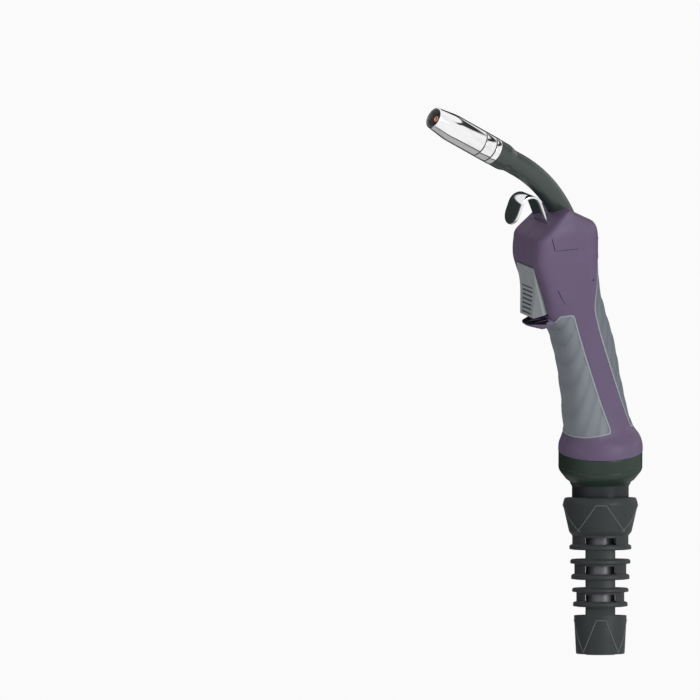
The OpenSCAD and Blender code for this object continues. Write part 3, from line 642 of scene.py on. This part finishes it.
def neck_rings(radius, start_x, end_cut=0.0, count=72, steps=30):
    """Rings along the neck's line. The radius may change with the distance from the front."""
    stops = [(start_x, 0.0, 0.0)] if start_x < NECK_START_X else []
    stops += [(None, NECK_ANGLE * k / steps, 0.0) for k in range(steps + 1)]
    stops += [(None, NECK_ANGLE, (NECK_FRONT - end_cut) * k / 24) for k in range(1, 25)]
    rings = []
    for x, bend, ahead in stops:
        cx, cz = (x, NECK_HEIGHT) if x is not None else neck_place(bend, ahead)
        from_front = NECK_FRONT - ahead + math.radians(NECK_ANGLE - bend) * NECK_BEND_R
        r = radius(from_front) if callable(radius) else radius
        a = math.radians(bend)
        turns = [2 * math.pi * k / count for k in range(count)]
        rings.append([
            (cx + r * math.cos(t) * math.sin(a), r * math.sin(t), cz + r * math.cos(t) * math.cos(a))
            for t in turns
        ])
    return rings


def hook_path():
    """The middle line of the hook's strip in the row's x and z, from its root to its free end."""
    middle = HOOK_R + HOOK_T / 2
    slope = math.radians(HOOK_SLOPE)
    c, s = math.cos(slope), math.sin(slope)
    points = []
    for k in range(28, 0, -1):
        run = HOOK_ROOT_RUN * k / 28
        points.append((middle * c + run * s, middle * s - run * c))
    for k in range(33):
        a = slope + (math.pi - 2 * slope) * k / 32
        points.append((middle * math.cos(a), middle * math.sin(a)))
    for k in range(1, 43):
        run = HOOK_END_RUN * (k / 42) ** 0.75
        points.append((-middle * c - run * s, middle * s - run * c))
    return [Vector((HOOK_X + x, 0, HOOK_Z + z)) for x, z in points]


def strip(path, half_width, thick, edge=0.35, round_end=True):
    """A flat strip bent along a path, with eased edges and a round free end."""
    lengths = [0.0]
    for a, b in zip(path, path[1:]):
        lengths.append(lengths[-1] + (b - a).length)
    rings = []
    for i, here in enumerate(path):
        way = (path[min(i + 1, len(path) - 1)] - path[max(i - 1, 0)]).normalized()
        out = Vector((way.z, 0, -way.x))
        left = lengths[-1] - lengths[i]
        half = half_width
        if round_end and left < half_width:
            half = max(0.4, math.sqrt(max(0.0, half_width**2 - (half_width - left) ** 2)))
        e = min(edge, half / 3)
        t = thick / 2
        ring = [
            (-half, -t + e), (-half + e * 0.3, -t + e * 0.3), (-half + e, -t),
            (half - e, -t), (half - e * 0.3, -t + e * 0.3), (half, -t + e),
            (half, t - e), (half - e * 0.3, t - e * 0.3), (half - e, t),
            (-half + e, t), (-half + e * 0.3, t - e * 0.3), (-half, t - e),
        ]
        rings.append([here + Vector((0, y, 0)) + out * o for y, o in ring])
    return skin(rings)


def in_handle(points):
    """Row points in the handle's frame."""
    back = HANDLE.to_3x3().inverted()
    return [back @ Vector(p) for p in points]


def shell(side):
    """One shell: side is 1 for the torch's left and -1 for its right."""
    form = handle_form()
    guards = [
        wrapped([
            ((GUARD_X - 5.5, s * (GUARD_ROOT - 2), -14.8), 4.4, 1.6),
            ((GUARD_X - 2.6, s * (GUARD_ROOT - 4), -26.2), 1.6, 1),
            ((GUARD_X - 2.6, 0, -27), 1.5, 1),
            ((GUARD_X - 4, 0, -14.8), 4, 1),
        ])
        for s in (-1, 1)
    ]
    ribs = [
        wrapped([
            ((155 - 4 * i, s * (4 - 0.3 * i), 36.3 - 1.1 * i - 1.5 * abs(s)), 1.2, 1)
            for s in (-1, 0, 1)
        ], 16)
        for i in range(6)
    ]
    hollows = [
        wrapped([
            ((GUARD_X + 0.6, s * (GUARD_ROOT - 2.4), -14), 3.6, 1.6),
            ((GUARD_X + 0.3, s * (GUARD_ROOT - 4.4), -25.3), 1.8, 1),
            ((GUARD_X + 0.3, 0, -26), 1.8, 1),
            ((GUARD_X + 2, 0, -14), 4, 1),
        ])
        for s in (-1, 1)
    ]
    guard = combine(combine(guards[0], guards[1:], "UNION"), hollows)
    form = combine(form, [guard, *ribs], "UNION")
    hollow_rows = [across_exit(FLANGE_Z + SHELL_WALL, FLANGE_R)] + SECTIONS[2:16]
    hollow = handle_form(SHELL_WALL, 2, 64, hollow_rows)
    lower = plate(grown(LOWER_GRIP, 0.15), 90)
    recess = combine(plate(grown(UPPER_GRIP, 0.15), 90), [lower], "UNION")
    recess = combine(recess, [handle_form(GRIP_THICK + 0.15, 3, 96)])
    to_handle = HANDLE.inverted()
    rear = rod((0, 0, 0), (0, 0, 18), 23.05, 96)
    rear.data.transform(to_handle)
    seat = strip(
        in_handle(hook_path()[:40]), HOOK_WIDTH / 2 + 0.15, HOOK_T + 0.3, 0.2, round_end=False
    )
    cutters = [
        hollow, recess, rear, seat,
        skin(neck_rings(7.65, 110)),
        box((SLOT_X[0], -10.3, -31), (SLOT_X[1], 10.3, -6)),
        rod((PIVOT[0], -14.7, PIVOT[1]), (PIVOT[0], 14.7, PIVOT[1]), PIN_R),
    ]
    for x, z in SCREWS:
        cutters.append(rod((x, -9, z), (x, 9, z), 1.45, 20))
        cutters.append(rod((x, -30, z), (x, -7, z), 2.65))
    cutters += groove([(176.7, -5), (166.3, -5.3)], 0.55, 1.3, side)
    cutters += groove([(166.3, -5.3), (161.1, 10.7)], 0.55, 0.6, side)
    cutters += groove([(139, -9.6), (132, -8)], 0.5, 1.5, side)
    tick = [
        (132.4, -8.4), (127.5, -7.6, 0.6), (125.6, -6.6, 0.5), (126.2, -5.9, 0.4), (128, -6.3, 0.5),
        (132, -7.7),
    ]
    cutters.append(plate(tick, 8, side * (FLANK_Y + 2.4)))
    cutters.append(rod((135.2, side * 24, 17.8), (135.2, side * 15.6, 17.8), 0.75, 20))
    form = combine(form, cutters)
    y = (SEAM, 60) if side > 0 else (-60, -SEAM)
    return combine(form, [box((-60, y[0], -80), (240, y[1], 90))], "INTERSECT")


def grip(outline, side, rim):
    """A grip's streaked field, or the smooth rim round it."""
    form = handle_form(-0.1) if rim else handle_form(0.45, 6, 220, relief=streaks)
    form = combine(form, [handle_form(GRIP_THICK, 3, 96)])
    form = combine(form, [plate(grown(outline, -0.05 if rim else -1.25), 90)], "INTERSECT")
    if rim:
        form = combine(form, [plate(grown(outline, -1.25), 90)])
    y = (SEAM / 2, 60) if side > 0 else (-60, -SEAM / 2)
    return combine(form, [box((-60, y[0], -80), (240, y[1], 90))], "INTERSECT")


for word, side in (("left", 1), ("right", -1)):
    half = piece(
        f"shell_{word}", shell(side), HANDLE, "handle", "shell_plastic", f"handle_{word}", crease=24
    )
    # Faces in the guard's hollow take the near-black painted shadow
    half.data.materials.append(GUARD_HOLLOW_SHADOW)
    for face in half.data.polygons:
        x, y, z = face.center / MM
        inward = face.normal.dot(Vector((x - GUARD_X - 2.5, y, z + 20))) < -0.4
        if (face.normal.x > 0.35 or inward) and z < -18.5 and GUARD_X - 8 < x < GUARD_X + 0.2:
            face.material_index = 1
    for level, outline in (("upper", UPPER_GRIP), ("lower", LOWER_GRIP)):
        node = f"{level}_grip_{word}"
        # The upper grips take the darker copy of the rubber, a painted shade
        tone = GRIP_BACK_SHADED if level == "upper" else None
        # Every rim takes the lighter painted highlight
        for name, rim, finish in (("grip", False, tone), ("grip_rim", True, GRIP_RIM_HIGHLIGHT)):
            piece(
                f"{name}_{level}_{word}", grip(outline, side, rim), HANDLE, "handle", "soft_grip",
                node, crease=35, finish=finish,
            )


# ---------- Neck, hook, nozzle and tip ----------
def jacket_radius(from_front):
    """The cover's radius: it swells behind the nozzle in one soft step."""
    t = min(1.0, max(0.0, (15 - from_front) / 7))
    return 7.5 + 1.35 * t * t * (3 - 2 * t)


cover = combine(skin(neck_rings(jacket_radius, 122)), [skin(neck_rings(6.15, 121, -1))])
piece("neck_cover", cover, HANDLE, "handle", "neck_cover", "neck_jacket", crease=40)
piece("hook_strip", strip(hook_path(), HOOK_WIDTH / 2, HOOK_T), ROW, "handle", "hook_chrome", "hanging_hook")

nozzle = turned([
    (7.8, 0.3, 0.15), (9, 0.3, 0.4), (9, 4.6, 0.12), (8.6, 4.7, 0.1), (8.6, 5.4, 0.1), (9, 5.5, 0.12),
    (9, 13.6, 0.12), (8.6, 13.7, 0.1), (8.6, 14.4, 0.1), (9, 14.5, 0.12),
    (9, 38.3, 3), (7.15, 53.2, 0.5), (6.1, 53.3, 0.3), (5.95, 52.8, 0.4), (7.8, 38, 3),
], 160)
piece("nozzle", nozzle, NOZZLE, "nozzle", "nozzle_chrome", "gas_nozzle", crease=50)
nozzle.data.materials.append(NOZZLE_INSIDE)
nozzle.data.materials.append(GROOVE_SHADE)
# Faces inside the mouth take the inner finish; those of the two grooves take a dark painted shade
for face in nozzle.data.polygons:
    middle = face.center / MM
    if face.normal.x * middle.x + face.normal.y * middle.y < -1e-3:
        face.material_index = 1
    elif min(abs(middle.z - 5.05), abs(middle.z - 14.05)) < 0.47:
        face.material_index = 2

tip = turned([
    (0.55, 26.5), (3, 26.5, 0.3), (3, 31.7), (3.8, 31.7, 0.3), (3.8, 34.3, 0.4), (3, 34.4, 0.2),
    (3, 46.5, 0.8), (2.04, 51.4, 0.3), (1.1, 51.5, 0.3), (0.55, 51.1, 0.2),
], 72)
tip = combine(tip, [box((-5, 3.1, 31.5), (5, 8, 35.5)), box((-5, -8, 31.5), (5, -3.1, 35.5))])
piece("tip", tip, NOZZLE, "tip", "copper", "contact_tip")


def wound(radius, wire, turns, height, low, steps=36, sides=12):
    """A coil spring of round wire, from a height up its axis."""
    rings = []
    lean = math.atan2(height / turns, 2 * math.pi * radius)
    for i in range(int(turns * steps) + 1):
        a = 2 * math.pi * i / steps
        ring = []
        for k in range(sides):
            b = 2 * math.pi * k / sides
            out, up = radius + wire * math.cos(b), wire * math.sin(b)
            ring.append((
                out * math.cos(a) + up * math.sin(lean) * math.sin(a),
                out * math.sin(a) - up * math.sin(lean) * math.cos(a),
                low + height * i / (turns * steps) + up * math.cos(lean),
            ))
        rings.append(ring)
    return skin(rings)


coil = wound(5.75, 0.45, 5, 9.6, 2.3)
piece("retaining_spring", coil, NOZZLE, "handle", "spring_steel", "nozzle_spring")
BOSS_BELOW = SCREWS[1][1] - BOSS_R
SPRING_FLOOR = PIVOT[1] - 1
return_spring = wound(2.3, 0.3, 6, BOSS_BELOW - SPRING_FLOOR - 0.9, SPRING_FLOOR + 0.45)
return_spring.data.transform(Matrix.Translation((SCREWS[1][0], 0, 0)))
piece("return_spring", return_spring, HANDLE, "handle", "spring_steel", "trigger_spring")
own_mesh(return_spring)


# ---------- Trigger ----------
TAIL, KNEE = Vector((123.2, -26.5)), Vector((143, -19.8))
FINGER_WAY = (KNEE - TAIL).normalized()
FINGER_OUT = Vector((FINGER_WAY.y, -FINGER_WAY.x))
FINGER_PROUD = 0.3


def trigger_shape():
    """The trigger: a tapered block with seven grooves across its finger face."""
    start, knee = TAIL + FINGER_OUT * FINGER_PROUD, KNEE + FINGER_OUT * FINGER_PROUD
    block = plate([
        (*start, 1.6), (*knee, 7), (156.9, -19.5, 1.2), (156.9, -13.4, 1.5), (150.5, -9, 1.2),
        (145.5, -9.4), (123.5, -11.4, 0.8), (123.1, -19.6, 1.5),
    ], TRIGGER_W)
    half = [(TRIGGER_W / 2, 0), (TRIGGER_W / 2, -18.4), (9.6, -19.4), (7.2, -27.6)]
    taper = [(-y, z) for y, z in half] + half[::-1]
    block = combine(block, [skin([[(x, y, z) for y, z in taper] for x in (100, 170)])], "INTERSECT")
    nub = plate([(128.5, -12.4), (130, -8, 0.4), (132, -8, 0.4), (133.5, -12.4)], 5)
    block = combine(block, [nub], "UNION")
    holes = [
        rod((PIVOT[0], -10, PIVOT[1]), (PIVOT[0], 10, PIVOT[1]), 2.06),
        rod((SCREWS[1][0], 0, SPRING_FLOOR), (SCREWS[1][0], 0, 0), 3.2),
    ]
    for i in range(7):
        p = start + FINGER_WAY * (2.9 + 2.88 * i)
        reach = 5.2 + 0.17 * i
        holes.append(rod((p.x, -reach, p.y), (p.x, reach, p.y), 0.6, 16))
    return combine(block, holes)


blade = piece("trigger_blade", trigger_shape(), HANDLE, "trigger", "trigger_plastic", "trigger", crease=28)
blade.data.materials.append(FINGER_FACE_LIT)
blade.data.materials.append(FINGER_GROOVE_SHADE)
# The finger face takes the lit copy of the grey, and its grooves the painted shade
for face in blade.data.polygons:
    x, y, z = face.center / MM
    middle = Vector((x, z)) - TAIL
    if face.normal.z < -0.3 and z < -12:
        sunk = FINGER_PROUD - middle.dot(FINGER_OUT) > 0.05
        in_groove = sunk and abs(y) < 6.5 and 1 < middle.dot(FINGER_WAY) < 20.9
        face.material_index = 2 if in_groove else 1


# ---------- Knuckle ----------
collar = turned([
    (20.6, -4.95, 0.3), (22.8, -4.95, 0.8), (27.5, 1.25, 1.6), (27.5, 4.2, 0.3), (27.25, 4.5, 0.2),
    (27.5, 4.8, 0.3), (27.5, 13.2, 0.6), (27.2, 13.75, 0.4), (23.95, 13.75), (23.95, -2.05), (21.47, -2.05),
], 160)
piece("collar", collar, ROW, "handle", "collar_plastic", "rear_collar", crease=35)

BALL_R, BORE_R = 21.5, 8.3
BALL_FROM, BALL_TO = -30.1, 37.2
ball_section = [(BORE_R, -30, 0.4), (18.6, -30, 0.8), (18.6, -10.785)]
ball_section += [
    (BALL_R * math.cos(math.radians(a)), BALL_R * math.sin(math.radians(a)))
    for a in [BALL_FROM + (BALL_TO - BALL_FROM) * k / 34 for k in range(35)]
]
ball_section += [(BORE_R, 13, 0.8)]
piece("ball", turned(ball_section, 128), SUPPORT, "support", "ball_plastic", "knuckle_ball", crease=50)

# ---------- Cable support ----------
TOP = -18
HEAD = 25
HEAD_R = 24.65
RIB = 40.6
GAPS, WINDOWS, RIBS = (6, 5.3, 5.6), (5.8, 6.5, 6), (3.5, 3.3, 3.7, 3, 3.5)
WAISTS = (RIB - 3.8, RIB - 6.6, RIB - 9.2)
stack = [
    WINDOWS[0], RIBS[0], GAPS[0], RIBS[1], WINDOWS[1], RIBS[2],
    GAPS[1], RIBS[3], WINDOWS[2], RIBS[4], GAPS[2],
]
levels = [TOP - HEAD]
for step in stack:
    levels.append(levels[-1] - step)
FOOT = levels[-1]
LOW = -120.4


def ridge(points, radius):
    """A low bead of round section along points."""
    rings = []
    for i, here in enumerate(points):
        way = (points[min(i + 1, len(points) - 1)] - points[max(i - 1, 0)]).normalized()
        side = way.cross(Vector((here.x, here.y, 0))).normalized()
        out = side.cross(way)
        turns = [2 * math.pi * k / 8 for k in range(8)]
        rings.append([here + side * radius * math.cos(t) + out * radius * math.sin(t) for t in turns])
    return skin(rings)


def chevron(high, low, wide, narrow, radius_at, quarter):
    """The raised outline that climbs one side: up, across and down."""
    corners = [Vector((-wide, low)), Vector((-narrow, high)), Vector((narrow, high)), Vector((wide, low))]
    points = []
    for a, b in zip(corners, corners[1:]):
        count = 14 if a.y != b.y else 6
        for k in range(count + (b is corners[-1])):
            x, z = a + (b - a) * k / count
            r = radius_at(z) + 0.05
            points.append(turn(90 * quarter, "Z") @ Vector((x, -math.sqrt(r * r - x * x), z)))
    return ridge(points, 0.42)


def support():
    """The slotted cable support: a head, five ribs on narrow waists, and a foot."""
    outer = [
        (HEAD_R - 1.3, TOP, 1.2), (HEAD_R, TOP - 4, 1.5), (20.45, TOP - HEAD + 2.5, 1),
        (18.4, TOP - HEAD, 0.4),
    ]
    for i in range(5):
        r = (RIB - 1.2 * i) / 2
        high, low = levels[1 + 2 * i], levels[2 + 2 * i]
        web = (RIB - 6 - 2.4 * (i // 2)) / 2
        above = WAISTS[i // 2] / 2 if i % 2 == 0 else web
        under = web if i % 2 == 0 else WAISTS[(i + 1) // 2] / 2
        outer += [
            (above, high, 0.5), (r - 0.9, high, 0.6), (r, high - 0.9, 0.4), (r, low + 0.4, 0.5),
            (under, low, 0.4),
        ]
    outer += [((RIB - 6.1) / 2, FOOT, 0.7), ((RIB - 8.8) / 2, LOW, 0.8)]
    shape = turned(outer + [(9.75, LOW, 0.4), (9.75, TOP - 13), (18.75, TOP - 13), (18.75, TOP, 0.5)], 144)
    cutters = []
    for i in range(3):
        high, low = levels[2 + 4 * i], levels[3 + 4 * i]
        for side in (-1, 1):
            x = sorted((side * 9.5, side * 60))
            cutters.append(box((x[0], -60, low), (x[1], 60, high)))
        top = levels[4 * i]
        cutters.append(box((-10, -60, top - WINDOWS[i]), (10, 60, top - 1.2)))
    return combine(shape, cutters)


def head_radius(z):
    return HEAD_R + (z - TOP + 4) * 4.2 / 18.5


def foot_radius(z):
    return 15.9 + (z - LOW) * 1.35 / (FOOT - LOW)


def support_ridges():
    """The raised outlines on the support's head and foot, one to each quarter."""
    ridges = []
    for quarter in range(4):
        ridges.append(chevron(TOP - 5, TOP - HEAD + 2.6, 15.5, 3.4, head_radius, quarter))
        ridges.append(chevron(FOOT - 3, LOW + 1, 11.5, 3.2, foot_radius, quarter))
    return combine(ridges[0], ridges[1:], "UNION")


piece("cable_support", support(), SUPPORT, "support", "support_rubber", "support_body", crease=32)
# The ridges carry the lighter painted highlight
piece(
    "support_ridges", support_ridges(), SUPPORT, "support", "support_rubber", "support_body",
    finish=RIDGE_HIGHLIGHT,
)

# ---------- Finishes on the carried-over nodes ----------
slots = {s["node"]: s["material_slot"] for s in frame["record"]["subparts"]}
for node, thing in frame["nodes"].items():
    thing.data.materials.clear()
    thing.data.materials.append(FINISH[slots[node]])


# ---------- Floor, room and lamps ----------
def floor():
    """A pale floor whose reflection has a dark stripe and a grey field, as a studio's has."""
    half, drop = 15, -0.35
    bm = bmesh.new()
    corners = ((-1, -1), (1, -1), (1, 1), (-1, 1))
    bm.faces.new([bm.verts.new((x * half, y * half, drop)) for x, y in corners])
    ground = solid(bm)
    ground.name = "floor"
    paint = Paint("pale_floor", roughness=0.9)
    paint.feed(paint.shader.inputs["Base Color"], (0.9, 0.9, 0.9, 1))
    glow = paint.node("ShaderNodeEmission", values={"Color": (1, 1, 1, 1), "Strength": 1.0})
    rays = paint.node("ShaderNodeLightPath", out="Is Camera Ray")
    glossy = Level(paint, rays.socket.node.outputs["Is Glossy Ray"])
    x, y, z = paint.axes()
    stripe = 1 - (y + 0.195).size().above(0.045, 0.01)
    strips = paint.mix(y.above(-0.15, 0.02), (1.0, 1.0, 1.0), (0.45, 0.45, 0.46))
    strips = paint.mix((stripe + y.above(0.45, 0.15)).above(0.5, 0.5), strips, (0.02, 0.025, 0.025))
    paint.feed(glow.socket.node.inputs["Color"], paint.mix(glossy, (1.0, 1.0, 1.0), strips))
    seen = rays * 0.9 + glossy
    both = paint.node("ShaderNodeMixShader", values={0: seen})
    paint.tree.links.new(paint.shader.outputs[0], both.socket.node.inputs[1])
    paint.tree.links.new(glow.socket, both.socket.node.inputs[2])
    paint.tree.links.new(both.socket, paint.tree.nodes["Material Output"].inputs["Surface"])
    ground.data.materials.append(paint.holder)


def room():
    """A white room whose reflections have a dark wall behind and a dark panel on the right."""
    world = bpy.data.worlds.new("room")
    bpy.context.scene.world = world
    paint = Paint("room", world=world)
    x, y, z = paint.axes(paint.node("ShaderNodeTexCoord", out="Generated"))
    panel = (1 - (z - 0.38).size().above(0.06, 0.02)) * x.above(0.7, 0.03)
    dark = y.above(0.52, 0.06) * (1 - z.above(0.42, 0.05)) + panel
    back = paint.mix(dark.above(0.5, 0.45), (1.0, 1.0, 1.0), (0.03, 0.035, 0.035))
    path = paint.node("ShaderNodeLightPath", out="Is Camera Ray")
    glossy = Level(paint, path.socket.node.outputs["Is Glossy Ray"])
    colour = paint.mix(glossy, (0.5, 0.5, 0.5), back)
    colour = paint.mix(path, colour, (1.0, 1.0, 1.0))
    background = paint.tree.nodes["Background"]
    paint.tree.links.new(colour.socket, background.inputs["Color"])


def lamp(name, come_from, strength, softness):
    """A far lamp from a direction, with its softness in degrees."""
    light = bpy.data.lights.new(name, "SUN")
    light.energy = strength
    light.angle = math.radians(softness)
    holder = bpy.data.objects.new(name, light)
    bpy.context.scene.collection.objects.link(holder)
    holder.rotation_euler = Vector(come_from).to_track_quat("Z", "Y").to_euler()
    return holder


floor()
room()
lamp("key", (0.2, -1.0, 0.3), 1.5, 25)
# The fill lamp only lifts the far side: it leaves no glint on the plated pieces
lamp("fill", (0.5, 0.83, -0.2), 0.8, 40).visible_glossy = False
